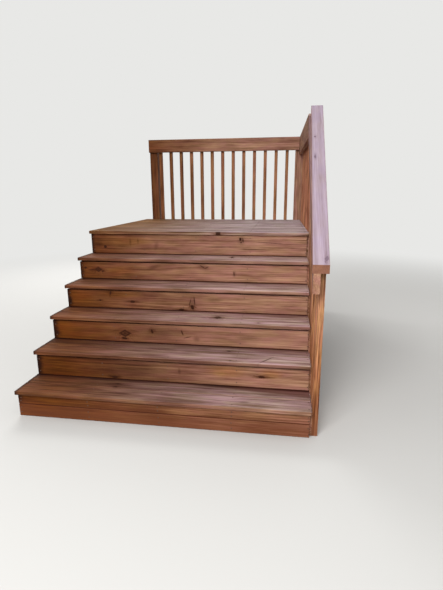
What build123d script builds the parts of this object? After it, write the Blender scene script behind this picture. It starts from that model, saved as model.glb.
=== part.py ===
from build123d import *
import os
from math import atan2, cos

# Wooden deck stairs: a landing beside a house wall, reached by closed-riser steps,
# with a railing along its back, its open side and down the open side of the steps.
# All sizes are in millimetres. While it is laid out, X runs from the wall to the open
# side, Y from the lowest nosing up the steps, and Z is 0 at the top of the lowest tread.

# Steps
step_rise = 178.0
step_run = 244.0
tread_count = 5
first_rise = 178.0
landing_lift = 18.0
nosing = 18.0
tread_gap = 3.0
tread_clearance = 4.4
tread_end_setback = 9.0
riser_foot_gap = 3.0
riser_head_gap = 9.6
riser_end_setback = 15.0
wall_clearance = 10.0
bottom_riser_width = 66.0
bottom_riser_gap = 1.5

# Lumber
board_thickness = 25.4
board_width = 140.0
board_edge_radius = 5.0
lumber_thickness = 38.0
lumber_edge_radius = 3.0
post_size = 89.0
baluster_size = 35.0
baluster_edge_radius = 2.0

# Frame
stair_width = 1872.0
stringer_depth = 286.0
joist_depth = 184.0
hanger_depth = 235.0
hanger_gap = 2.0
frame_bays = 4
deck_board_count = 11
deck_board_gap = 5.0
deck_edge_setback = 3.0
landing_taper = 26.0

# Level railing
rail_height = 910.0
back_rail_depth = 140.0
side_rail_depth = 184.0
back_post_inset = 70.0
corner_post_overhang = 10.0
first_back_baluster = 199.0
baluster_pitch = 123.0
baluster_clearance = 5.0
baluster_tail = 180.0

# Sloping railing
stair_rail_drop = 18.0
cap_width = 89.0
cap_thickness = 38.0
cap_overhang = 7.0
cap_drift = 24.0
cap_reach = 37.0
stair_rail_depth = 89.0
first_stair_baluster = 62.0
stair_baluster_lift = 25.0

# Worked out from the sizes above
slope = step_rise / step_run
slope_angle = atan2(step_rise, step_run)
ground = -first_rise
riser_width = step_rise - board_thickness - riser_foot_gap - riser_head_gap
back_board_width = step_run + nosing + board_thickness - tread_clearance - board_width - tread_gap
deck_top = tread_count * step_rise + landing_lift
deck_underside = deck_top - board_thickness
landing_front = tread_count * step_run
landing_depth = deck_board_count * board_width + (deck_board_count - 1) * deck_board_gap
landing_back = landing_front + landing_depth
hanger_top = deck_underside - joist_depth - hanger_gap
hanger_underside = hanger_top - hanger_depth
rail_top = deck_top + rail_height
rail_inner = stair_width - lumber_thickness
post_front = landing_front + nosing + board_thickness
post_back = post_front + post_size
post_outer = rail_inner + post_size
landing_corner_x = stair_width - landing_taper
open_post_x = landing_corner_x + corner_post_overhang - post_size
rail_meeting = post_front + post_size / 2
cap_rise = rail_height - stair_rail_drop
cap_plumb = cap_thickness / cos(slope_angle)
cap_inner = rail_inner - cap_overhang
stair_rail_plumb = stair_rail_depth / cos(slope_angle)
right_edge = cap_inner + cap_width + cap_drift
back_edge = landing_back + post_size
origin = Vector(right_edge / 2, (back_edge - cap_reach) / 2, ground)


def nosing_y(step):
    """Front edge of a tread; step 1 is the lowest, the landing comes last."""
    return (step - 1) * step_run


def tread_top(step):
    return (step - 1) * step_rise


def riser_front(step):
    return nosing_y(step) + nosing


def riser_back(step):
    return riser_front(step) + board_thickness


def landing_side(y):
    """Open side of the landing, which runs in a little towards the back."""
    share = max(0, y - rail_meeting) / (landing_back - rail_meeting)
    return stair_width - landing_taper * share


def cap_top(y):
    return cap_rise + y * slope


def cap_underside(y):
    return cap_top(y) - cap_plumb


def stringer_underside(y):
    """Lower edge of the stringers: their depth below the line through the notch tips."""
    notch_tip = (y - riser_back(1)) * slope - board_thickness
    return notch_tip - stringer_depth / cos(slope_angle)


def block(x0, x1, y0, y1, z0, z1):
    """A square-edged timber between two corners."""
    size = (x1 - x0, y1 - y0, z1 - z0)
    return Pos(x0, y0, z0) * Box(*size, align=(Align.MIN, Align.MIN, Align.MIN))


def ease(timber, axis, radius):
    """Round the long edges of a timber that runs along an axis."""
    return fillet(timber.edges().filter_by(axis), radius)


def side_profile(points, x0, x1):
    """A shape drawn in the Y-Z plane and given its thickness along X."""
    face = make_face(Polyline(*points, close=True))
    return extrude(Plane.YZ.offset(x0) * face, x1 - x0)


def cross_board(x0, x1, y0, z0, width, thickness, radius=board_edge_radius):
    """A board laid along X, flat (width along Y)."""
    return ease(block(x0, x1, y0, y0 + width, z0, z0 + thickness), Axis.X, radius)


def tread(step):
    """Two boards side by side; the back one is ripped to reach under the riser above."""
    x1 = stair_width - tread_end_setback
    z0 = tread_top(step) - board_thickness
    front = cross_board(0, x1, nosing_y(step), z0, board_width, board_thickness)
    back_y = nosing_y(step) + board_width + tread_gap
    back = cross_board(0, x1, back_y, z0, back_board_width, board_thickness)
    return [front, back]


def riser_board(step, bottom, top):
    """A board on edge behind a nosing, fixed to the plumb cuts of the stringers."""
    x1 = stair_width - riser_end_setback
    board = block(wall_clearance, x1, riser_front(step), riser_back(step), bottom, top)
    return ease(board, Axis.X, board_edge_radius)


def riser(step):
    """Stands just clear of the tread below; the joint above it is hidden by the nosing."""
    bottom = tread_top(step - 1) + riser_foot_gap
    return riser_board(step, bottom, bottom + riser_width)


def top_riser():
    """The taller board, close up under the edge of the landing."""
    return riser_board(tread_count + 1, tread_top(tread_count) + riser_foot_gap, deck_underside)


def bottom_riser():
    """The upper half of the bottom riser, close up under the lowest tread."""
    top = tread_top(1) - board_thickness
    return riser_board(1, top - bottom_riser_width, top)


def ground_board():
    """The lower half of the bottom riser, standing on the ground."""
    return riser_board(1, ground, tread_top(1) - board_thickness - bottom_riser_width - bottom_riser_gap)


def stringer(x0):
    """Sawtooth plank: level cuts carry the treads, plumb cuts carry the risers."""
    points = [(riser_back(1), ground), (riser_back(1), tread_top(1) - board_thickness)]
    for step in range(1, tread_count + 1):
        level = tread_top(step) - board_thickness
        points.append((riser_back(step + 1), level))
        if step < tread_count:
            points.append((riser_back(step + 1), level + step_rise))
    last = riser_back(tread_count + 1)
    points.append((last, stringer_underside(last)))
    foot = riser_back(1) + (ground - stringer_underside(riser_back(1))) / slope
    points.append((foot, ground))
    return side_profile(points, x0, x0 + lumber_thickness)


def frame_line(index, left):
    """Left face of each stringer or joist, spaced evenly up to the open side."""
    bay = (stair_width - lumber_thickness - left) / frame_bays
    return left + index * bay


def deck_board(index):
    y0 = landing_front + index * (board_width + deck_board_gap)
    x1 = landing_side(y0 + board_width) - deck_edge_setback
    return cross_board(0, x1, y0, deck_underside, board_width, board_thickness)


def front_header():
    """Rim across the landing's front and, below it, the board that the stringers' ends bear on."""
    y0 = riser_back(tread_count + 1)
    y1 = y0 + lumber_thickness
    rim = block(0, stair_width, y0, y1, deck_underside - joist_depth, deck_underside)
    hanger = block(0, stair_width, y0, y1, hanger_underside, hanger_top)
    return [rim, hanger]


def back_rim():
    return block(0, landing_corner_x, landing_back - lumber_thickness, landing_back,
                 deck_underside - joist_depth, deck_underside)


def joist(index):
    """Joists run from header to back rim; the first is the ledger on the house."""
    x0 = frame_line(index, 0)
    y0 = riser_back(tread_count + 1) + lumber_thickness
    return block(x0, x0 + lumber_thickness, y0, landing_back - lumber_thickness,
                 deck_underside - joist_depth, deck_underside)


def side_plank(y0, y1, z0, z1):
    """A plank on edge that follows the open side of the landing."""
    outer = [(landing_side(y0), y0), (landing_side(y1), y1)]
    inner = [(x - lumber_thickness, y) for x, y in reversed(outer)]
    return extrude(Plane.XY.offset(z0) * make_face(Polyline(*outer, *inner, close=True)), z1 - z0)


def side_rim():
    return side_plank(riser_back(tread_count + 1) + lumber_thickness, landing_back - lumber_thickness,
                      deck_underside - joist_depth, deck_underside)


def back_post(x0):
    """Post bolted outside the back rim, from the ground to the top of the railing."""
    post = block(x0, x0 + post_size, landing_back, back_edge, ground, rail_top)
    return ease(post, Axis.Z, lumber_edge_radius)


def stair_post():
    """Post at the top of the steps: its head is cut to the slope of the handrail, and a notch
    as deep as a plank lets the landing's frame stand on its shoulder and the rails pass inside it."""
    points = [(post_front, ground), (post_back, ground),
              (post_back, cap_underside(post_back)), (post_front, cap_underside(post_front))]
    post = ease(side_profile(points, rail_inner, post_outer), Axis.Z, lumber_edge_radius)
    notch = block(rail_inner, stair_width, post_front, post_back, hanger_underside, cap_top(post_back))
    return post - notch


def back_rail():
    """Plank on edge on the landing side of the back posts and balusters."""
    x1 = landing_corner_x - lumber_thickness
    rail = block(back_post_inset, x1, landing_back - lumber_thickness, landing_back,
                 rail_top - back_rail_depth, rail_top)
    return ease(rail, Axis.X, lumber_edge_radius)


def side_rail():
    """Plank on edge along the open side, bevelled at the front to pass under the cap."""
    rail = side_plank(rail_meeting, landing_back, rail_top - side_rail_depth, rail_top)
    rail = fillet([edge for edge in rail.edges() if edge.length > post_size * 3], lumber_edge_radius)
    above = [(rail_meeting - post_size, cap_underside(rail_meeting - post_size)),
             (back_edge, cap_underside(back_edge)),
             (rail_meeting - post_size, cap_underside(back_edge))]
    return rail - side_profile(above, rail_inner - post_size, stair_width + post_size)


def sloping_board(x0, x1, near, far, top, plumb_depth, drift=0.0):
    """A board that follows the steps, with plumb ends; drift is how far it wanders outwards."""
    end = [(x0, near, top - plumb_depth), (x1, near, top - plumb_depth), (x1, near, top), (x0, near, top)]
    run = Vector(drift, far - near, (far - near) * slope)
    along = run.normalized()
    board = extrude(make_face(Polyline(*end, close=True)), run.length, along)
    edges = [edge for edge in board.edges() if abs(edge.tangent_at(0).dot(along)) > 0.999]
    return fillet(edges, lumber_edge_radius)


def stair_rail():
    """Plank on edge inside the balusters of the steps."""
    return sloping_board(rail_inner, stair_width, -cap_reach, rail_meeting,
                         cap_underside(-cap_reach), stair_rail_plumb)


def stair_rail_cap():
    """Flat handrail board on top of the sloping rail and the balusters."""
    return sloping_board(cap_inner, cap_inner + cap_width, -cap_reach, post_back,
                         cap_top(-cap_reach), cap_plumb, cap_drift)


def back_balusters():
    bars = []
    room = open_post_x - baluster_clearance - baluster_size / 2 - first_back_baluster
    for index in range(1 + int(room // baluster_pitch)):
        centre = first_back_baluster + index * baluster_pitch
        bar = block(centre - baluster_size / 2, centre + baluster_size / 2,
                    landing_back, landing_back + baluster_size,
                    deck_underside - baluster_tail, rail_top)
        bars.append(ease(bar, Axis.Z, baluster_edge_radius))
    return bars


def side_balusters():
    """Evenly spaced between the post at the top of the steps and the back corner."""
    bars = []
    middle = (post_back + landing_back) / 2
    count = int((landing_back - post_back - baluster_size) // baluster_pitch)
    for index in range(count):
        centre = middle + (index - (count - 1) / 2) * baluster_pitch
        y0 = centre - baluster_size / 2
        bar = block(landing_side(y0), landing_side(y0) + baluster_size, y0, y0 + baluster_size,
                    deck_underside - baluster_tail, rail_top)
        bars.append(ease(bar, Axis.Z, baluster_edge_radius))
    return bars


def stair_balusters():
    """Uprights outside the stringer; their heads are cut to the slope of the cap."""
    bars = []
    room = post_front - baluster_clearance - baluster_size / 2 - first_stair_baluster
    for index in range(1 + int(room // baluster_pitch)):
        y0 = first_stair_baluster + index * baluster_pitch - baluster_size / 2
        y1 = y0 + baluster_size
        foot = max(ground, stringer_underside(y1) + stair_baluster_lift)
        points = [(y0, foot), (y1, foot), (y1, cap_underside(y1)), (y0, cap_underside(y0))]
        bar = side_profile(points, stair_width, stair_width + baluster_size)
        bars.append(ease(bar, Axis.Z, baluster_edge_radius))
    return bars


def assemble():
    """Every node by name, still in the layout frame."""
    nodes = {}
    for step in range(1, tread_count + 1):
        nodes[f"tread_{step}"] = tread(step)
    nodes["riser_1_ground_board"] = ground_board()
    nodes["riser_1"] = bottom_riser()
    for step in range(2, tread_count + 1):
        nodes[f"riser_{step}"] = riser(step)
    nodes[f"riser_{tread_count + 1}"] = top_riser()
    for index in range(frame_bays + 1):
        nodes[f"stringer_{index + 1}"] = stringer(frame_line(index, wall_clearance))
    for index in range(deck_board_count):
        nodes[f"deck_board_{index + 1}"] = deck_board(index)
    nodes["front_header"] = front_header()
    nodes["back_rim"] = back_rim()
    nodes["house_ledger"] = joist(0)
    for index in range(1, frame_bays):
        nodes[f"joist_{index}"] = joist(index)
    nodes["side_rim"] = side_rim()
    nodes["house_corner_post"] = back_post(back_post_inset)
    nodes["open_corner_post"] = back_post(open_post_x)
    nodes["stair_top_post"] = stair_post()
    nodes["back_rail"] = back_rail()
    nodes["back_balusters"] = back_balusters()
    nodes["side_rail"] = side_rail()
    nodes["side_balusters"] = side_balusters()
    nodes["stair_rail"] = stair_rail()
    nodes["stair_rail_cap"] = stair_rail_cap()
    nodes["stair_balusters"] = stair_balusters()
    return nodes


def main():
    os.makedirs("parts", exist_ok=True)
    place = Pos(-origin.X, -origin.Y, -origin.Z)
    for name, shape in assemble().items():
        if isinstance(shape, list):
            shape = Compound([solid for item in shape for solid in item.solids()])
        export_step(place * shape, f"parts/{name}.step")
        print(name)


main()
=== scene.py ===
import bpy
import math
import random
from mathutils import Matrix, Vector


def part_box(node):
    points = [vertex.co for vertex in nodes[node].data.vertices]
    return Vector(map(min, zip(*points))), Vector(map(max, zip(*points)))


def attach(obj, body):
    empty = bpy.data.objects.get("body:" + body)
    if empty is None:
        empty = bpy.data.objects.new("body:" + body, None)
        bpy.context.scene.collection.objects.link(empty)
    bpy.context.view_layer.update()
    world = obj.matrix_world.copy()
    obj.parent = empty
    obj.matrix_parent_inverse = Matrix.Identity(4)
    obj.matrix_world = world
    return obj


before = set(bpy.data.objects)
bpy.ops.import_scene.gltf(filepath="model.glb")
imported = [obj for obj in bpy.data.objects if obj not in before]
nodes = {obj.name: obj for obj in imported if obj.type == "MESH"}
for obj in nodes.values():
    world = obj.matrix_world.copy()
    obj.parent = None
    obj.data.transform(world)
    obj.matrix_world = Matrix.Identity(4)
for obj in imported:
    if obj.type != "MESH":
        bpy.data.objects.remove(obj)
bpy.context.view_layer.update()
print("frame loaded:", len(nodes), "boards and frames")

# Counts and sizes of the frame's own steps, boards and bars, in metres
stairSizes = {
    "treads": 5,
    "deckBoards": 11,
    "stringers": 5,
    "rise": 0.178,
    "run": 0.244,
    "boardWidth": 0.140,
    "treadPitch": 0.143,
    "rippedWidth": 0.100,  # the narrower back board of a tread
    "deckPitch": 0.145,
    "barWidth": 0.035,
    "barPitch": 0.123,
}

toRight, toBack, toTop = (1, 0, 0), (0, 1, 0), (0, 0, 1)
toLeft, toFront, toBottom = (-1, 0, 0), (0, -1, 0), (0, 0, -1)
slope = math.atan2(stairSizes["rise"], stairSizes["run"])
climb = (0, math.cos(slope), math.sin(slope))
overClimb = (0, -math.sin(slope), math.cos(slope))
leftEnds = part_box("tread_1")[0].x  # every board's marks are measured from here
white = (1, 1, 1, 1)


# Camera, at the photograph's own place and lens
cameraSettings = {
    "place": (0.7118, -3.6632, 1.4162),
    "turnLeft": 8.619,
    "tiltDown": 13.92,
    "roll": -0.271,
    "lens": 25.623,
    "sensorWidth": 36,
    "clipStart": 0.05,
}


def addCamera(s):
    data = bpy.data.cameras.new("photoCamera")
    data.lens = s["lens"]
    data.sensor_width = s["sensorWidth"]
    data.clip_start = s["clipStart"]
    camera = bpy.data.objects.new("photoCamera", data)
    bpy.context.scene.collection.objects.link(camera)
    turn = Matrix.Rotation(math.radians(s["turnLeft"]), 4, "Z")
    tilt = Matrix.Rotation(math.radians(90 - s["tiltDown"]), 4, "X")
    roll = Matrix.Rotation(math.radians(s["roll"]), 4, "Z")
    camera.matrix_world = Matrix.Translation(s["place"]) @ turn @ tilt @ roll
    bpy.context.scene.camera = camera


addCamera(cameraSettings)
print("camera placed")


# Shader expressions
class Socket:  # an output socket that plain sums can be written with
    def __init__(self, graph, link):
        self.graph, self.link = graph, link

    def __add__(self, other):
        return self.graph.maths("ADD", self, other)

    def __radd__(self, other):
        return self.graph.maths("ADD", other, self)

    def __sub__(self, other):
        return self.graph.maths("SUBTRACT", self, other)

    def __rsub__(self, other):
        return self.graph.maths("SUBTRACT", other, self)

    def __mul__(self, other):
        return self.graph.maths("MULTIPLY", self, other)

    def __rmul__(self, other):
        return self.graph.maths("MULTIPLY", other, self)

    def __truediv__(self, other):
        return self.graph.maths("DIVIDE", self, other)


class Graph:  # the nodes of one material, or of the world
    def __init__(self, owner):
        owner.use_nodes = True
        self.tree = owner.node_tree
        self.tree.nodes.clear()

    def add(self, kind, settings, values, output=0):
        node = self.tree.nodes.new(kind)
        for key, value in settings.items():
            setattr(node, key, value)
        for key, value in values.items():
            if isinstance(value, Socket):
                self.tree.links.new(value.link, node.inputs[key])
            else:
                node.inputs[key].default_value = value
        return Socket(self, node.outputs[output])

    def maths(self, operation, *values, clamp=False):
        settings = {"operation": operation, "use_clamp": clamp}
        return self.add("ShaderNodeMath", settings, dict(enumerate(values)))

    def larger(self, a, b):
        return self.maths("MAXIMUM", a, b)

    def absolute(self, a):
        return self.maths("ABSOLUTE", a)

    def vector(self, operation, *values, output=0):
        return self.add("ShaderNodeVectorMath", {"operation": operation}, dict(enumerate(values)), output)

    def dot(self, a, b):
        return self.vector("DOT_PRODUCT", a, b, output="Value")

    def length(self, a):
        return self.vector("LENGTH", a, output="Value")

    def join(self, x, y, z=0.0):
        return self.add("ShaderNodeCombineXYZ", {}, {0: x, 1: y, 2: z})

    def step(self, value, start, end):  # 0 before start, 1 after end, smooth between
        values = {"Value": value, "From Min": start, "From Max": end}
        return self.add("ShaderNodeMapRange", {"interpolation_type": "SMOOTHSTEP"}, values)

    def mix(self, factor, a, b, blend="MIX"):
        settings = {"data_type": "RGBA", "blend_type": blend, "clamp_factor": True}
        return self.add("ShaderNodeMix", settings, {0: factor, 6: a, 7: b}, output=2)

    def tint(self, colour, paint, strength=1.0):  # multiplied in, like a wash of stain
        return self.mix(strength, colour, paint, "MULTIPLY")

    def noise(self, place, detail=2.0, roughness=0.5, dimensions="3D"):
        key = "W" if dimensions == "1D" else "Vector"
        values = {key: place, "Scale": 1.0, "Detail": detail, "Roughness": roughness}
        return self.add("ShaderNodeTexNoise", {"noise_dimensions": dimensions}, values)

    def seen(self):  # 1 where a camera, a mirror or glass looks, 0 for the light on the steps
        rays = [self.add("ShaderNodeLightPath", {}, {}, f"Is {kind} Ray")
                for kind in ("Camera", "Glossy", "Transmission")]
        return self.larger(self.larger(rays[0], rays[1]), rays[2])

    def finish(self, shader, output="ShaderNodeOutputMaterial"):
        out = self.tree.nodes.new(output)
        self.tree.links.new(shader.link, out.inputs["Surface"])


def stain(red, green, blue):  # a screen colour, 0 to 255, as the shader's linear colour
    def linear(c):
        c = c / 255
        return c / 12.92 if c <= 0.04045 else ((c + 0.055) / 1.055) ** 2.4
    return (linear(red), linear(green), linear(blue), 1)


# Marks on a board. A kind's fade is where it starts and ends, as a share of the mark's size.
# A knot or an eye also has a halo drawn out along the grain, and bends the rings round it.
markSettings = {
    "kinds": {
        "knot": {"layer": "core", "fade": (0.8, 1.25), "depth": 1.0},
        "dot": {"layer": "core", "fade": (0.8, 1.25), "depth": 1.0},
        "crack": {"layer": "core", "fade": (0.4, 1.1), "depth": 0.8},
        "smudge": {"layer": "haze", "fade": (0.2, 1.4), "depth": 1.0},
        "gold": {"layer": "gold", "fade": (0.2, 1.5), "depth": 1.0},
    },
    "eyeEdge": (1.05, 1.45),
    "eyeRim": (0.35, 0.75),
    "eyeRimDepth": 0.92,
    "eyePupil": (0.1, 0.5),
    "eyePupilDepth": 0.5,
    "eyePaleDepth": 0.45,
    "raggedScale": 90.0,
    "ragged": 0.5,
    "haloStretch": (2.6, 1.2),
    "haloMargin": (12, 3),
    "haloFade": (0.1, 1.3),
    "bendFade": (0.6, 3.6),
    "bend": 0.0011,
}


def drawEye(g, away, s):  # a dark rim and a dark pupil, with paler wood between
    inside = 1 - g.step(away, *s["eyeEdge"])
    rim = g.step(away, *s["eyeRim"]) * inside
    pupil = s["eyePaleDepth"] + s["eyePupilDepth"] * (1 - g.step(away, *s["eyePupil"]))
    return g.larger(rim * s["eyeRimDepth"], pupil) * inside


def drawMarks(g, marks, u, v, s):  # places are in metres, half widths in millimetres, leans in degrees
    layers, bends = {"core": 0.0, "halo": 0.0, "haze": 0.0, "gold": 0.0}, []
    if not marks:
        return layers, bends

    def darken(layer, depth):
        layers[layer] = g.larger(layers[layer], depth)

    flat = g.join(u, v)
    ragged = (g.noise(g.join(u * s["raggedScale"], v * s["raggedScale"])) - 0.5) * s["ragged"]
    stretchU, stretchV = s["haloStretch"]
    marginU, marginV = s["haloMargin"]
    for kind, placeU, placeV, sizeU, sizeV, lean in marks:
        cosine, sine = math.cos(math.radians(lean)), math.sin(math.radians(lean))
        offset = g.vector("SUBTRACT", flat, (placeU, placeV, 0))
        a = g.dot(offset, (cosine * 1000 / sizeU, sine * 1000 / sizeU, 0))
        b = g.dot(offset, (-sine * 1000 / sizeV, cosine * 1000 / sizeV, 0))
        if kind == "eye":  # pointed at both ends
            away = g.absolute(a) + g.absolute(b) + ragged
            darken("core", drawEye(g, away, s))
        else:
            away = g.length(g.join(a, b)) + ragged
            look = s["kinds"][kind]
            darken(look["layer"], (1 - g.step(away, *look["fade"])) * look["depth"])
        if kind in ("knot", "eye"):
            reach = (1000 / (sizeU * stretchU + marginU), 1000 / (sizeV * stretchV + marginV), 0)
            tail = g.length(g.vector("MULTIPLY", offset, reach)) + ragged
            darken("halo", 1 - g.step(tail, *s["haloFade"]))
            bends.append((1 - g.step(away, *s["bendFade"])) * (sizeV * s["bend"]))
    return layers, bends


# Patterns in the wood: how fine each is along and across the board, how it is broken up, and
# a shift that keeps some apart from the others
grainPatterns = {
    "warp": {"along": 3.0, "across": 40.0, "detail": 2.0, "roughness": 0.5, "shift": 0.0},
    "fibres": {"along": 13.0, "across": 420.0, "detail": 2.0, "roughness": 0.6, "shift": 0.0},
    "streaks": {"along": 4.2, "across": 125.0, "detail": 3.0, "roughness": 0.65, "shift": 0.0},
    "broad": {"along": 3.0, "across": 30.0, "detail": 2.0, "roughness": 0.5, "shift": 0.0},
    "clouds": {"along": 3.5, "across": 9.0, "detail": 2.0, "roughness": 0.5, "shift": 0.0},
    "warmth": {"along": 6.0, "across": 24.0, "detail": 2.0, "roughness": 0.5, "shift": 17.0},
    "veins": {"along": 1.3, "across": 150.0, "detail": 1.0, "roughness": 0.5, "shift": 50.0},
}

# Stained pine. The grain is cut from growth rings round each board's own pith, so faces,
# edges and ends agree. The stain is brown where a board is sheltered and greyed where it is open;
# the darker wall side is partly painted shade, and the paler tops partly a painted sky sheen.
woodSettings = {
    "sideSheltered": stain(95, 51, 15),
    "sideOpen": stain(150, 113, 98),
    "topSheltered": stain(96, 56, 30),
    "topOpenAndSheen": stain(154, 130, 131),
    "topFacing": (0.35, 0.9),
    "shelterStart": -1.15,
    "shelterEnd": 0.62,
    "shelterLow": 0.45,  # how much further to the right the shelter reaches, lower down
    "shelterLevel": 0.9,
    "shelterTop": 1.1,
    "shelterRagged": 0.35,
    "dark": (0.50, 0.42, 0.36, 1),
    "light": (1.46, 1.52, 1.58, 1),
    "golden": (1.05, 1.06, 0.84, 1),
    "reddish": (1.00, 0.88, 0.86, 1),
    "warmthFade": (0.32, 0.68),
    "vein": (0.66, 0.55, 0.48, 1),
    "veinFade": (0.56, 0.66),
    "knot": stain(52, 25, 12),
    "heart": (0.70, 0.56, 0.45, 1),
    "heartStrength": 0.7,
    "smudge": (0.62, 0.59, 0.56, 1),
    "smudgeStrength": 0.8,
    "gilt": (1.14, 1.07, 0.66, 1),
    "giltStrength": 0.8,
    "shadedInnerFace": white,
    "shadedInnerFacing": (0.5, 0.9),
    "endGrain": (0.5, 0.42, 0.36, 1),
    "endFacing": (0.6, 0.9),
    "endStrength": 0.55,
    "soil": stain(118, 72, 50),
    "soilHeight": (0.02, 0.15),
    "soilRagged": (0.12, 0.03),
    "soilStrength": 0.6,
    "contrast": 1.0,
    # how strongly each pattern shows
    "bands": 1.1,
    "rings": 0.7,
    "fibres": 0.8,
    "streaks": 1.9,
    "broad": 0.8,
    "clouds": 0.9,
    "veins": 0.75,
    "haloDepth": 0.30,
    # how much one board or bar differs from the next
    "boardTones": (0.94, 1.06),
    "barTones": (0.10, 0.12, 0.10),
    "diceStep": 1.7,
    # the growth rings, and the pith's place in the log
    "ringWidth": 0.0042,
    "bandWidth": 0.016,
    "pithDepth": (0.05, 0.14),
    "pithSpread": 0.20,
    "wander": 0.035,
    "sway": (0.9, 0.0),  # how fast the pith wanders sideways, and a shift
    "drift": (0.7, 31.0),  # the same in depth
    "warp": 0.003,
    "logLength": 9.0,
    "logStart": (3, 40),
    # the surface
    "roughness": 0.70,
    "roughnessRange": 0.16,
    "shine": 0.1,
    "relief": 0.5,
    "reliefDepth": 0.0006,
}


# The stain's weathering, with painted shade towards the wall and a painted sky sheen on the tops
def weatherAndPaintedShade(g, place, facing, clouds, s):
    low = g.maths("MINIMUM", g.dot(place, toTop), s["shelterTop"])
    reach = g.dot(place, toRight) + (low - s["shelterLevel"]) * s["shelterLow"]
    openAndLit = g.step(reach + (clouds - 0.5) * s["shelterRagged"], s["shelterStart"], s["shelterEnd"])
    sides = g.mix(openAndLit, s["sideSheltered"], s["sideOpen"])
    tops = g.mix(openAndLit, s["topSheltered"], s["topOpenAndSheen"])
    return g.mix(g.step(g.dot(facing, toTop), *s["topFacing"]), sides, tops)


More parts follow.
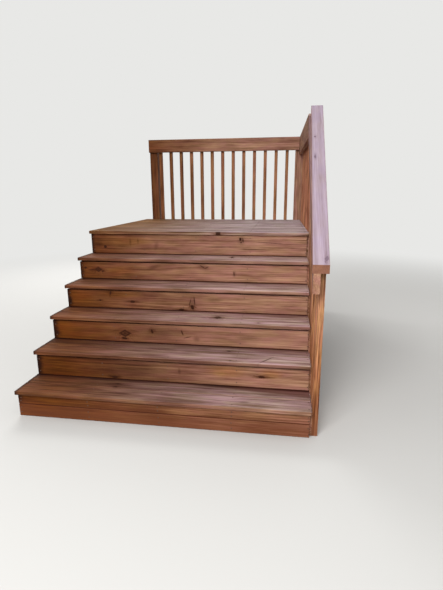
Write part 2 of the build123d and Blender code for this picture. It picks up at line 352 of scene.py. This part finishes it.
def stainedPine(name, along, across, centre, seed, cell=None, marks=(), tone=1.0, soil=False, edges=(),
                changes=None):
    s = dict(woodSettings, **(changes or {}))
    pick = random.Random(seed)
    material = bpy.data.materials.new(name)
    g = Graph(material)
    place = g.add("ShaderNodeTexCoord", {}, {}, "Object")
    facing = g.add("ShaderNodeNewGeometry", {}, {}, "Normal")

    # Along the grain, and across and into the board from its middle
    axis, side = Vector(along).normalized(), Vector(across).normalized()
    depth = axis.cross(side)
    u, flatV = g.dot(place, axis), g.dot(place, side)
    v, w = flatV - centre.dot(side), g.dot(place, depth) - centre.dot(depth)
    if cell:  # several boards or bars in one node, each with its own log
        counted = (g.dot(place, cell["direction"]) - cell["start"]) / cell["pitch"]
        number = g.maths("FLOOR", counted)
        values = {"W": number + seed * s["diceStep"]}
        dice = g.add("ShaderNodeTexWhiteNoise", {"noise_dimensions": "1D"}, values, "Color")
        rolls = [g.dot(dice, direction) for direction in (toRight, toBack, toTop)]
        if abs(Vector(cell["direction"]).dot(side)) > 0.5:
            v = (counted - number - 0.5) * cell["pitch"]
    else:
        rolls = [pick.random() for _ in range(3)]
    start = pick.uniform(*s["logStart"])
    run = u + rolls[0] * s["logLength"] + start

    def pattern(kind):
        p = grainPatterns[kind]
        stretched = g.join(run * p["along"] + p["shift"], v * p["across"], w * p["across"])
        return g.noise(stretched, p["detail"], p["roughness"])

    def wander(speed, shift):
        return (g.noise(run * speed + shift, detail=1.0, dimensions="1D") - 0.5) * s["wander"]

    # Growth rings round the pith, which lies off the board and wanders along it
    near, far = s["pithDepth"]
    pithV = (rolls[1] - 0.5) * s["pithSpread"] + wander(*s["sway"])
    pithW = near + (far - near) * rolls[2] + wander(*s["drift"])
    radius = g.length(g.join(v - pithV, w + pithW)) + (pattern("warp") - 0.5) * s["warp"]
    layers, bends = drawMarks(g, marks, u, flatV, markSettings)
    radius = sum(bends, radius)
    patterns = {
        "bands": g.noise(radius / s["bandWidth"] + start * 3, detail=3.0, roughness=0.6, dimensions="1D"),
        "rings": g.noise(radius / s["ringWidth"] + start, detail=1.0, dimensions="1D"),
    }
    for kind in ("fibres", "streaks", "broad", "clouds"):
        patterns[kind] = pattern(kind)
    shade = sum((drawn - 0.5) * s[kind] for kind, drawn in patterns.items())
    shade = shade - layers["halo"] * s["haloDepth"]
    figure = g.maths("ADD", shade * s["contrast"], 0.5, clamp=True)

    # The stain with its painted shade and sheen, then what the wood and the weather do to it
    fibres, streaks, clouds = patterns["fibres"], patterns["streaks"], patterns["clouds"]
    colour = weatherAndPaintedShade(g, place, facing, clouds, s)
    colour = g.tint(colour, g.mix(figure, s["dark"], s["light"]))
    warmth = g.step(pattern("warmth"), *s["warmthFade"])
    colour = g.tint(colour, g.mix(warmth, s["reddish"], s["golden"]))
    veins = g.step(pattern("veins"), *s["veinFade"])
    colour = g.tint(colour, s["vein"], veins * (s["veins"] * min(1.0, s["contrast"])))
    boardTone = tone * pick.uniform(*s["boardTones"])
    if cell:
        boardTone = g.dot(dice, s["barTones"]) + (boardTone - sum(s["barTones"]) / 2)
    colour = g.tint(colour, g.join(boardTone, boardTone, boardTone))
    if marks:
        colour = g.tint(colour, s["heart"], layers["halo"] * s["heartStrength"])
        colour = g.tint(colour, s["smudge"], layers["haze"] * s["smudgeStrength"])
        colour = g.tint(colour, s["gilt"], layers["gold"] * s["giltStrength"])
        colour = g.mix(layers["core"], colour, s["knot"])
    if s["shadedInnerFace"] != white:  # painted shade: the faces towards the steps are darker than the weather side
        colour = g.tint(colour, s["shadedInnerFace"], g.step(g.dot(facing, toLeft), *s["shadedInnerFacing"]))
    endCut = g.step(g.absolute(g.dot(facing, axis)), *s["endFacing"])
    colour = g.tint(colour, s["endGrain"], endCut * s["endStrength"])
    for direction, clean, reached, ragged, paint in edges:  # painted shade where boards meet and under overhangs, painted light and shade on the stair bars and rail, and lighter fronts
        reach = g.dot(place, direction) + (streaks - 0.5) * ragged + (clouds - 0.5) * ragged
        colour = g.tint(colour, g.mix(g.step(reach, clean, reached), white, paint))
    if soil:
        coarse, fine = s["soilRagged"]
        splash = g.dot(place, toTop) + (clouds - 0.5) * coarse + (fibres - 0.5) * fine
        colour = g.mix((1 - g.step(splash, *s["soilHeight"])) * s["soilStrength"], colour, s["soil"])

    bump = {"Strength": s["relief"], "Distance": s["reliefDepth"], "Height": figure}
    values = {
        "Base Color": colour,
        "Roughness": s["roughness"] + (0.5 - figure) * s["roughnessRange"],
        "Normal": g.add("ShaderNodeBump", {}, bump),
        "Specular IOR Level": s["shine"],
    }
    g.finish(g.add("ShaderNodeBsdfPrincipled", {}, values))
    return material


def finishWith(piece, material):
    piece.data.materials.clear()
    piece.data.materials.append(material)


def middle(node):
    low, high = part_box(node)
    return (low + high) / 2


def dress(node, material, along, across, seed, **looks):
    finishWith(nodes[node], stainedPine(material, along, across, middle(node), seed, **looks))


def marksOn(rows, line, towards=1):  # from millimetres on the board to the frame's metres
    return [(kind, leftEnds + x / 1000, line + towards * y / 1000, sizeU, sizeV, lean)
            for kind, x, y, sizeU, sizeV, lean in rows]


def edge(direction, line, start, end, ragged, paint):  # a wash of colour, painted shade and painted light among them, that sets in across a line
    return (direction, line + start, line + end, ragged, paint)


# Treads, two boards each. A mark is its kind, its distance from the left end and behind the
# nosing, its half widths along and across, all in millimetres, and its lean in degrees. A line
# or shade is how far past an edge it starts and is full, how ragged it is, and its colour. The
# lines and shades at the back, the left end and the back corner are painted shade.
treadSettings = {
    "marks": {
        1: [("knot", 615, 199, 12, 10, 0), ("knot", 615, 161, 10, 8, 0), ("knot", 435, 245, 11, 8, 0),
            ("smudge", 1470, 64, 34, 18, 0)],
        2: [("crack", 1585, 62, 85, 7, 52), ("smudge", 1650, 108, 50, 12, 0), ("knot", 1357, 22, 10, 7, 0),
            ("knot", 1327, 187, 16, 10, 0), ("crack", 1050, 142, 60, 4, 0)],
        3: [("smudge", 1222, 130, 46, 38, 0), ("eye", 1222, 130, 30, 26, 0), ("knot", 1518, 40, 9, 6, 0)],
        4: [("smudge", 420, 120, 60, 30, 0)],
        5: [("knot", 1260, 165, 7, 44, 0)],
    },
    "tones": (0.88, 0.95, 1.0, 0.98, 1.10),
    "wood": {
        "sideSheltered": stain(104, 62, 34),
        "sideOpen": stain(134, 100, 90),
        "topOpenAndSheen": stain(160, 136, 138),
        "light": (1.36, 1.41, 1.46, 1),
        "broad": 1.6,
        "shine": 0.22,
    },
    "lowestWood": {
        "sideOpen": stain(168, 127, 112),
    },
    # painted shade at the back under the riser above, at the left end and in the back corners
    "backShadowLine": (-0.024, 0.004, 0.008, (0.38, 0.15, 0.06, 1)),
    "backShade": (-0.085, -0.005, 0.02, (0.66, 0.61, 0.58, 1)),
    "leftShade": (-0.035, 0.01, 0.03, (0.16, 0.12, 0.09, 1)),
    # lighter towards the front edge
    "lighterFront": (-0.10, -0.008, 0.01, (1.06, 1.06, 1.07, 1)),
    "cornerSlant": (0.12, 1, 0),
    "corner": (-0.005, 0.035, 0.02),  # in the next line's colours, one for each tread
    "cornerShades": ((0.52, 0.38, 0.33, 1), (0.76, 0.64, 0.60, 1), (0.70, 0.60, 0.57, 1),
                     (0.86, 0.80, 0.78, 1), white),
}


def dressTreads(s, sizes):
    for number in range(1, sizes["treads"] + 1):
        name = f"tread_{number}"
        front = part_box(name)[0].y
        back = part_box(f"riser_{number + 1}")[0].y
        edges = [edge(toBack, back, *s["backShadowLine"]), edge(toBack, back, *s["backShade"]),
                 edge(toLeft, -leftEnds, *s["leftShade"]),
                 edge(s["cornerSlant"], back, *s["corner"], s["cornerShades"][number - 1]),
                 edge(toFront, -front, *s["lighterFront"])]
        cell = {"direction": toBack, "start": front, "pitch": sizes["treadPitch"]}
        wood = dict(s["wood"], **s["lowestWood"]) if number == 1 else s["wood"]
        dress(name, f"treadPine{number}", toRight, toBack, seed=10 + number, cell=cell, edges=edges,
              marks=marksOn(s["marks"][number], front), tone=s["tones"][number - 1], changes=wood)


# Risers. Their marks are measured down from the underside of the boards above.
riserSettings = {
    "marks": {
        1: [],
        2: [("knot", 570, 136, 20, 9, 0), ("smudge", 575, 120, 60, 30, 0), ("knot", 1560, 73, 22, 8, 0),
            ("smudge", 1560, 73, 80, 14, 0), ("smudge", 1020, 66, 11, 26, 0),
            ("smudge", 700, 70, 260, 70, 0), ("gold", 1330, 50, 120, 40, 0), ("gold", 1620, 50, 70, 30, 0)],
        3: [("eye", 562, 86, 40, 24, 0), ("knot", 556, 124, 20, 8, -8), ("knot", 765, 62, 8, 15, 20),
            ("crack", 985, 62, 7, 26, 20), ("crack", 1020, 96, 36, 4, 14), ("smudge", 1088, 106, 26, 20, 0),
            ("smudge", 34, 108, 40, 30, 0), ("knot", 40, 104, 7, 12, 0), ("gold", 90, 60, 110, 60, 0),
            ("smudge", 1450, 80, 90, 16, 0), ("smudge", 820, 70, 180, 60, 0)],
        4: [("knot", 365, 28, 7, 14, -15), ("knot", 540, 93, 18, 9, 0), ("smudge", 540, 93, 90, 16, 0),
            ("knot", 277, 90, 8, 6, 0), ("knot", 1008, 122, 11, 17, 18), ("crack", 1024, 72, 6, 44, 4),
            ("crack", 990, 84, 5, 34, -12), ("smudge", 1008, 92, 30, 50, 0), ("knot", 922, 142, 20, 9, 10),
            ("smudge", 1180, 60, 60, 14, 0), ("gold", 120, 60, 110, 50, 0), ("gold", 440, 40, 160, 30, 0),
            ("crack", 30, 100, 12, 40, 0)],
        5: [("eye", 166, 72, 27, 18, 0), ("knot", 204, 86, 9, 5, 30), ("crack", 108, 76, 36, 6, 6),
            ("crack", 238, 26, 105, 4, 0), ("knot", 55, 60, 9, 8, 0), ("smudge", 1045, 34, 50, 24, -15),
            ("crack", 1293, 84, 6, 22, 4), ("smudge", 1296, 84, 16, 30, 0), ("smudge", 640, 45, 70, 18, 20),
            ("crack", 1040, 32, 34, 5, -35), ("crack", 1076, 38, 20, 5, 30), ("gold", 360, 80, 120, 40, 0),
            ("smudge", 420, 110, 60, 20, 0)],
        6: [("dot", 132, 111, 13, 12, 0), ("smudge", 67, 84, 46, 44, 0), ("smudge", 592, 100, 22, 36, -20),
            ("dot", 1316, 34, 10, 13, 0), ("crack", 1337, 40, 7, 24, 10), ("dot", 1322, 60, 5, 7, 0),
            ("smudge", 1324, 46, 34, 44, 0), ("smudge", 362, 70, 10, 34, 0), ("smudge", 430, 60, 10, 26, 0),
            ("crack", 1560, 62, 130, 4, -2), ("crack", 1130, 100, 160, 4, 1), ("gold", 330, 60, 200, 40, 0),
            ("crack", 1420, 118, 120, 4, 0)],
    },
    "tones": (1.0, 0.90, 1.0, 1.02, 0.98, 1.0),
    "contrasts": (1.0, 0.80, 0.62, 0.88, 0.78, 0.88),
    "wood": {
        "sideOpen": stain(158, 119, 104),
        "veins": 0.65,
    },
    "groundWood": {
        "sideOpen": stain(156, 110, 88),
        "soil": stain(120, 68, 44),
    },
    # painted shade and grime under the nosings, in the gaps at the risers' feet and over the ground board
    "shadeLine": (0.34, 0.12, 0.04, 1),
    "topShadeLine": (0.85, 0.68, 0.55, 1),
    # where the painted shade lines at the risers' heads and feet start and are full, and how ragged they
    # are
    "head": (-0.004, 0.002, 0.003),
    "foot": (-0.009, 0.003, 0.005),
    "groundHead": (-0.005, 0.0, 0.003),
    # the shades, as on the treads
    "leftShade": (-0.050, -0.006, 0.07, (0.16, 0.12, 0.09, 1)),
    "sunnyRiser": 2,
    "sunnyEnd": (0.0, 0.6, 0.05, (1.28, 1.28, 1.28, 1)),  # painted sunlight, from the frame's middle to the right
}


def dressRisers(s, sizes):
    highest = sizes["treads"] + 1
    for number in range(1, highest + 1):
        name = f"riser_{number}"
        low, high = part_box(name)
        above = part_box("deck_board_1" if number == highest else f"tread_{number}")[0].z
        line = s["topShadeLine"] if number == highest else s["shadeLine"]
        edges = [edge(toTop, high.z, *s["head"], line), edge(toBottom, -low.z, *s["foot"], line),
                 edge(toLeft, -low.x, *s["leftShade"])]
        if number == s["sunnyRiser"]:
            edges.append(edge(toRight, 0.0, *s["sunnyEnd"]))
        wood = dict(s["groundWood"] if number == 1 else s["wood"], contrast=s["contrasts"][number - 1])
        dress(name, f"riserPine{number}", toRight, toTop, seed=20 + number, soil=number == 1, edges=edges,
              marks=marksOn(s["marks"][number], above, towards=-1), tone=s["tones"][number - 1],
              changes=wood)
    name = "riser_1_ground_board"
    edges = [edge(toTop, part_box(name)[1].z, *s["groundHead"], s["shadeLine"])]
    dress(name, "groundPine", toRight, toTop, seed=27, soil=True, edges=edges, changes=s["groundWood"])


# The landing's boards. Their marks are measured behind the landing's nosing.
landingSettings = {
    "marks": [("knot", 1132, 4, 21, 10, 0), ("crack", 1765, 160, 90, 7, 0)],
    "tones": (0.93, 0.98, 0.85, 1.0, 0.91, 1.0, 0.84, 0.98, 1.0, 0.87, 0.94),
    "wood": {
        "sideSheltered": stain(115, 76, 46),
        "sideOpen": stain(154, 128, 118),
        "topSheltered": stain(104, 71, 36),
        "topOpenAndSheen": stain(151, 136, 143),
        "shelterStart": -0.9,
        "shelterEnd": 0.7,
        "broad": 1.7,
        "shine": 0.12,
    },
    # lighter towards the front edge
    "lighterFront": (-0.05, -0.01, 0.01, (1.06, 1.06, 1.07, 1)),
}


def dressLanding(s, sizes):
    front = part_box("deck_board_1")[0].y
    for number in range(1, sizes["deckBoards"] + 1):
        name = f"deck_board_{number}"
        rows = [row for row in s["marks"] if number - 1 <= row[2] / 1000 / sizes["deckPitch"] < number]
        edges = [edge(toFront, -front, *s["lighterFront"])] if number == 1 else ()
        dress(name, f"deckPine{number}", toRight, toBack, seed=30 + number, edges=edges,
              marks=marksOn(rows, front), tone=s["tones"][number - 1], changes=s["wood"])


# The frame under the boards. The last stringer's cuts show past the risers' ends, stained lighter as
# painted light in the shade of the gap.
framingSettings = {
    "grain": {  # which way the grain of each kind of piece runs, and the way across its wide face
        "stringer": (climb, overClimb),
        "joist": (toBack, toTop),
        "side_rim": (toBack, toTop),
        "house_ledger": (toBack, toTop),
        "front_header": (toRight, toTop),
        "back_rim": (toRight, toTop),
    },
    "openStringer": "stringer_5",
    "paintedLightWood": {
        "endGrain": (0.95, 0.76, 0.60, 1),
    },
    "paintedLightTone": 1.35,
}


def dressFraming(s):
    for index, name in enumerate(sorted(nodes)):
        grain = [way for kind, way in s["grain"].items() if name.startswith(kind)]
        if not grain:
            continue
        along, across = grain[0]
        looks = {"tone": s["paintedLightTone"], "changes": s["paintedLightWood"]} if name == s["openStringer"] else {}
        dress(name, f"{name}Pine", along, across, seed=50 + len(name) + index, **looks)


# The railing's own stains, with painted light and shade on the stair rail and the bars by the steps.
# The cap has bleached, and the bars by the steps are the brightest. The painted shades here are a
# direction, where they start and are full in the frame, how ragged they are, and their colour.
# The cap's marks are placed in the frame, along the cap and across it.
railingSettings = {
    "postTones": {  # how light each post is
        "house_corner_post": 0.86,
        "open_corner_post": 0.93,
        "stair_top_post": 1.0,
    },
    "sideRailWood": {
        "shadedInnerFace": (0.51, 0.48, 0.44, 1),
    },
    "stairRailWood": {
        "sideOpen": stain(137, 108, 106),
        "endGrain": (2.5, 2.1, 1.3, 1),
        "contrast": 0.7,
    },
    "stairRailShades": [(toBack, -0.95, -0.35, 0, (0.66, 0.63, 0.68, 1))],
    "capWood": {
        "topSheltered": stain(167, 152, 166),
        "topOpenAndSheen": stain(167, 152, 166),
        "sideOpen": stain(148, 104, 84),
        "golden": (1.02, 1.0, 0.95, 1),
        "reddish": (1.0, 0.98, 1.02, 1),
        "knot": stain(112, 92, 104),
        "smudge": (0.78, 0.78, 0.84, 1),
        "heart": (0.86, 0.82, 0.82, 1),
        "endGrain": (0.82, 0.76, 0.70, 1),
        "shadedInnerFace": (0.72, 0.72, 0.80, 1),
        "contrast": 0.36,
    },
    "capMarks": [("knot", 0.690, 0.898, 9, 7, 0), ("knot", 0.435, 0.894, 14, 6, 0),
                 ("smudge", 0.450, 0.894, 50, 14, 0), ("smudge", -0.526, 0.931, 24, 14, 10),
                 ("eye", -0.526, 0.931, 20, 9, 15), ("crack", -0.552, 0.924, 14, 4, -20)],
    "backBarWood": {
        "sideSheltered": stain(104, 62, 28),
        "sideOpen": stain(152, 108, 82),
    },
    "sideBarWood": {
        "sideOpen": stain(152, 103, 81),
        "contrast": 1.3,
    },
    "stairBarWood": {
        "sideSheltered": stain(100, 58, 26),
        "sideOpen": stain(176, 122, 86),
        "shadedInnerFace": (0.78, 0.82, 1.0, 1),
        "vein": (0.42, 0.30, 0.24, 1),
        "veins": 1.0,
        "contrast": 1.5,
    },
    # painted light on the bars' upper parts, and painted shade on the bars behind the first
    "stairBarLightAndShade": [(toTop, 0.35, 0.80, 0, (1.25, 1.42, 1.70, 1)),
                       (toBack, -1.32, -1.20, 0, (0.66, 0.61, 0.58, 1)),
                       (toBack, -1.0, -0.3, 0, (0.85, 0.92, 1.15, 1))],
}


def dressRailing(s, sizes):
    for number, (name, tone) in enumerate(s["postTones"].items()):
        dress(name, f"{name}Pine", toTop, toRight, seed=70 + number, tone=tone)
    dress("back_rail", "backRailPine", toRight, toTop, seed=75)
    dress("side_rail", "sideRailPine", toBack, toTop, seed=76, changes=s["sideRailWood"])
    dress("stair_rail", "stairRailPine", climb, overClimb, seed=77, edges=s["stairRailShades"],
          changes=s["stairRailWood"])
    dress("stair_rail_cap", "capPine", climb, toRight, seed=78, marks=s["capMarks"], changes=s["capWood"])
    bars = (("back_balusters", toRight, toBack, s["backBarWood"]),
            ("side_balusters", toBack, toRight, s["sideBarWood"]),
            ("stair_balusters", toBack, toRight, s["stairBarWood"]))
    for number, (name, direction, across, wood) in enumerate(bars):
        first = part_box(name)[0].dot(Vector(direction)) + sizes["barWidth"] / 2
        cell = {"direction": direction, "start": first - sizes["barPitch"] / 2, "pitch": sizes["barPitch"]}
        looks = {"soil": True, "edges": s["stairBarLightAndShade"]} if name == "stair_balusters" else {}
        dress(name, f"{name}Pine", toTop, across, seed=80 + number, cell=cell, changes=wood, **looks)


dressTreads(treadSettings, stairSizes)
dressRisers(riserSettings, stairSizes)
dressLanding(landingSettings, stairSizes)
dressFraming(framingSettings)
dressRailing(railingSettings, stairSizes)
print("boards stained")


# Screws: one countersunk head with a socket, copied to every place
screwSettings = {
    "headRadius": 0.0042,
    "headHeight": 0.0016,
    "sunk": 0.0009,
    "rimWidth": 0.0004,
    "rimRise": 0.0002,
    "socketRadius": 0.0019,
    "socketDepth": 0.0011,
    "corners": 12,
    "paints": (stain(92, 66, 50), stain(58, 38, 28)),
    "paintFade": (0.4, 0.7),
    "speckleScale": (900, 900, 900),
    "roughness": 0.45,
    "roughnessRange": 0.3,
    "facings": {  # the pieces, and the way their heads look
        "tread_screws": toTop,
        "riser_screws": toFront,
        "deck_screws": toTop,
        "back_bar_screws": toBack,
        "side_bar_screws": toRight,
    },
    "edgeInset": 0.028,
    "narrowInset": 0.3,  # of a riser's height, where that is less
    "wander": 0.004,
    "fineWander": 0.003,
    "railDrops": (0.035, 0.105),  # below the level rail's top
    "rimDrops": (0.040, 0.120),  # below the landing frame's top
    "headDrops": (0.045, 0.095),  # below the head of a bar by the steps
    "footRises": (0.045, 0.115),  # above its foot
}


def deselectAll():
    if bpy.context.object and bpy.context.object.mode != "OBJECT":
        bpy.ops.object.mode_set(mode="OBJECT")
    bpy.ops.object.select_all(action="DESELECT")


def joinAll(pieces, name):
    deselectAll()
    for piece in pieces:
        piece.select_set(True)
    bpy.context.view_layer.objects.active = pieces[0]
    bpy.ops.object.join()
    joined = bpy.context.object
    joined.name = name
    return joined


def screwHead(s):
    deselectAll()
    bpy.ops.mesh.primitive_cylinder_add(vertices=s["corners"], radius=s["headRadius"],
                                        depth=s["headHeight"],
                                        location=(0, 0, s["headHeight"] / 2 - s["sunk"]))
    head = bpy.context.object
    bpy.ops.object.transform_apply(location=True, rotation=True, scale=True)
    for face in head.data.polygons:
        face.select = face.normal.z > 0.9
    for line in head.data.edges:
        line.select = False
    for vertex in head.data.vertices:
        vertex.select = vertex.co.z > 0
    bpy.ops.object.mode_set(mode="EDIT")
    bpy.ops.mesh.select_mode(type="FACE")
    bpy.ops.mesh.inset(thickness=s["rimWidth"], depth=s["rimRise"])
    bpy.ops.mesh.inset(thickness=s["headRadius"] - s["socketRadius"] - s["rimWidth"])
    bpy.ops.mesh.extrude_region_move(TRANSFORM_OT_translate={"value": (0, 0, -s["socketDepth"])})
    bpy.ops.object.mode_set(mode="OBJECT")
    return head


def scatter(model, name, places, facing):
    turn = Vector(toTop).rotation_difference(Vector(facing)).to_matrix().to_4x4()
    copies = []
    pick = random.Random(len(places))
    for place in places:
        copy = bpy.data.objects.new(name, model.data.copy())
        bpy.context.scene.collection.objects.link(copy)
        spin = Matrix.Rotation(pick.uniform(0, 1), 4, "Z")
        copy.matrix_world = Matrix.Translation(place) @ turn @ spin
        copies.append(copy)
    joined = joinAll(copies, name)
    bpy.ops.object.transform_apply(location=True, rotation=True, scale=True)
    return joined


def screwMetal(name, s):
    material = bpy.data.materials.new(name)
    g = Graph(material)
    place = g.add("ShaderNodeTexCoord", {}, {}, "Object")
    speckle = g.noise(g.vector("MULTIPLY", place, s["speckleScale"]), detail=3.0)
    values = {
        "Base Color": g.mix(g.step(speckle, *s["paintFade"]), *s["paints"]),
        "Roughness": s["roughness"] + speckle * s["roughnessRange"],
    }
    g.finish(g.add("ShaderNodeBsdfPrincipled", {}, values))
    return material


def barRow(name, axis, sizes):  # each bar's middle along its row, and the bar's own corners
    low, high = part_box(name)
    corners = {tuple(round(c, 4) for c in vertex.co) for vertex in nodes[name].data.vertices}
    steps = round((high[axis] - low[axis] - sizes["barWidth"]) / sizes["barPitch"])
    for index in range(steps + 1):
        line = low[axis] + sizes["barWidth"] / 2 + index * sizes["barPitch"]
        yield line, [corner for corner in corners if abs(corner[axis] - line) < sizes["barPitch"] / 2]


def addScrews(s, sizes):
    pick = random.Random(5)
    places = {name: [] for name in s["facings"]}
    near = s["edgeInset"]

    def jitter(size=s["wander"]):
        return pick.uniform(-size, size)

    stringerLines = [middle(f"stringer_{i + 1}").x for i in range(sizes["stringers"])]
    for number in range(1, sizes["treads"] + 1):
        low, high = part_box(f"tread_{number}")
        for x in stringerLines:
            for start, width in ((0, sizes["boardWidth"]), (sizes["treadPitch"], sizes["rippedWidth"])):
                for y in (low.y + start + near, low.y + start + width - near):
                    places["tread_screws"].append(Vector((x + jitter(), y + jitter(), high.z)))
    risers = [f"riser_{i + 1}" for i in range(sizes["treads"] + 1)] + ["riser_1_ground_board"]
    for name in risers:
        low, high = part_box(name)
        inset = min(near, (high.z - low.z) * s["narrowInset"])
        for x in stringerLines:
            for z in (low.z + inset, high.z - inset):
                places["riser_screws"].append(Vector((x + jitter(), low.y, z + jitter(s["fineWander"]))))
    joistLines = [middle(name).x for name in ("house_ledger", "joist_1", "joist_2", "joist_3", "side_rim")]
    for number in range(1, sizes["deckBoards"] + 1):
        low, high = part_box(f"deck_board_{number}")
        for x in joistLines:
            for y in (low.y + near, high.y - near):
                places["deck_screws"].append(Vector((x + jitter(), y + jitter(), high.z)))
    railTop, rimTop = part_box("back_rail")[1].z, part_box("back_rim")[1].z
    levels = [railTop - drop for drop in s["railDrops"]] + [rimTop - drop for drop in s["rimDrops"]]
    for x, corners in barRow("back_balusters", axis=0, sizes=sizes):
        outer = max(corner[1] for corner in corners)
        for z in levels:
            places["back_bar_screws"].append(Vector((x + jitter(s["fineWander"]), outer, z + jitter())))
    for name in ("side_balusters", "stair_balusters"):
        for y, corners in barRow(name, axis=1, sizes=sizes):
            outer = max(corner[0] for corner in corners)
            if name == "stair_balusters":  # each has its own head and foot
                top, foot = max(corner[2] for corner in corners), min(corner[2] for corner in corners)
                levels = [top - drop for drop in s["headDrops"]] + [foot + rise for rise in s["footRises"]]
            for z in levels:
                places["side_bar_screws"].append(Vector((outer, y + jitter(s["fineWander"]), z + jitter())))

    head = screwHead(s)
    metal = screwMetal("coatedScrew", s)
    for name, facing in s["facings"].items():
        screws = scatter(head, name, places[name], facing)
        finishWith(screws, metal)
        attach(screws, "root")
    bpy.data.objects.remove(head)


addScrews(screwSettings, stairSizes)
print("screws driven")


# Nailing strips behind the risers' heads, between the stringers
cleatSettings = {
    "width": 0.038,
    "thickness": 0.019,
    "clearance": 0.0015,
    "round": 0.0015,
    "tone": 0.8,
    "grainCentre": (0, 0, 0.5),
}


def addCleats(s, sizes):
    stringers = [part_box(f"stringer_{i + 1}") for i in range(sizes["stringers"])]
    cleats = []
    for number in range(2, sizes["treads"] + 1):
        under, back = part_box(f"tread_{number}")[0].z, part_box(f"riser_{number}")[1].y
        for left, right in zip(stringers, stringers[1:]):
            start, end = left[1].x + s["clearance"], right[0].x - s["clearance"]
            deselectAll()
            bpy.ops.mesh.primitive_cube_add(size=1, location=((start + end) / 2, back + s["thickness"] / 2,
                                                              under - s["width"] / 2))
            cleat = bpy.context.object
            cleat.scale = (end - start, s["thickness"], s["width"])
            bpy.ops.object.transform_apply(location=True, rotation=True, scale=True)
            bpy.ops.object.mode_set(mode="EDIT")
            bpy.ops.mesh.select_all(action="SELECT")
            bpy.ops.mesh.bevel(offset=s["round"], segments=1)
            bpy.ops.object.mode_set(mode="OBJECT")
            cleats.append(cleat)
    strips = joinAll(cleats, "riser_cleats")
    pine = stainedPine("cleatPine", toRight, toTop, Vector(s["grainCentre"]), seed=91, tone=s["tone"])
    finishWith(strips, pine)
    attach(strips, "root")


addCleats(cleatSettings, stairSizes)
print("nailing strips fitted")


# Floor and light
studioSettings = {
    "backdrop": stain(232, 232, 230),
    "floor": stain(197, 196, 193),
    "floorSize": 60,
    "floorBounce": (0.25, 0.25, 0.25, 1),  # what the floor throws back on the steps
    "floorFade": (3.2, 7.5),
    "underShadow": stain(122, 118, 113),  # painted shadow, as no light gets in under the steps
    "underAcross": (0.62, 0.98),
    "underDeep": (1.1, 1.5),
    "skyTop": 0.60,
    "skyHorizon": 0.05,
    "skyClears": (0.10, 0.65),
    "sideGlow": 3.0,  # a low soft light on the open side
    "sideFrom": (0.8, 0.6, 0),
    "sideSpread": (0.4, 0.95),
    "sideHeight": (0.1, 0.5),
    "lampTarget": (0, 0, 0.9),
    "lamps": {
        "keyLight": {"place": (-0.9, -6.2, 4.6), "size": 3.6, "power": 480, "mirrored": True},
        "backLight": {"place": (-3.2, 4.4, 4.8), "size": 4.0, "power": 330, "mirrored": False},
    },
}


def addFloor(s):
    deselectAll()
    bpy.ops.mesh.primitive_plane_add(size=s["floorSize"], location=(0, 0, 0))
    floor = bpy.context.object
    floor.name = "floor"
    material = bpy.data.materials.new("floorPaint")
    g = Graph(material)
    place = g.add("ShaderNodeTexCoord", {}, {}, "Object")
    seen = g.seen()
    across, deep = g.absolute(g.dot(place, toRight)), g.absolute(g.dot(place, toBack))
    under = (1 - g.step(across, *s["underAcross"])) * (1 - g.step(deep, *s["underDeep"]))
    ground = g.mix(under, s["floor"], s["underShadow"])
    paint = g.add("ShaderNodeBsdfDiffuse", {}, {"Color": g.mix(seen, s["floorBounce"], ground)})
    glow = g.add("ShaderNodeEmission", {}, {"Color": s["backdrop"]})
    away = g.step(g.length(place), *s["floorFade"])
    g.finish(g.add("ShaderNodeMixShader", {}, {0: away * seen, 1: paint, 2: glow}))
    finishWith(floor, material)


def addSky(s):
    world = bpy.data.worlds.new("studio")
    bpy.context.scene.world = world
    g = Graph(world)
    direction = g.add("ShaderNodeTexCoord", {}, {}, "Generated")
    height = g.dot(direction, toTop)
    sky = s["skyHorizon"] + (s["skyTop"] - s["skyHorizon"]) * g.step(height, *s["skyClears"])
    towards = g.step(g.dot(direction, s["sideFrom"]), *s["sideSpread"])
    sky = sky + s["sideGlow"] * towards * (1 - g.step(height, *s["sideHeight"]))
    dim = g.add("ShaderNodeBackground", {}, {"Color": white, "Strength": sky})
    pale = g.add("ShaderNodeBackground", {}, {"Color": s["backdrop"], "Strength": 1.0})
    g.finish(g.add("ShaderNodeMixShader", {}, {0: g.seen(), 1: dim, 2: pale}), "ShaderNodeOutputWorld")


def addLamps(s):
    for name, lampLook in s["lamps"].items():
        deselectAll()
        bpy.ops.object.light_add(type="AREA", location=lampLook["place"])
        lamp = bpy.context.object
        lamp.name = name
        lamp.data.size = lampLook["size"]
        lamp.data.energy = lampLook["power"]
        lamp.rotation_euler = (Vector(s["lampTarget"]) - lamp.location).to_track_quat("-Z", "Y").to_euler()
        lamp.visible_glossy = lampLook["mirrored"]


addFloor(studioSettings)
addSky(studioSettings)
addLamps(studioSettings)
bpy.context.scene.view_settings.view_transform = "Standard"
print("studio lit")
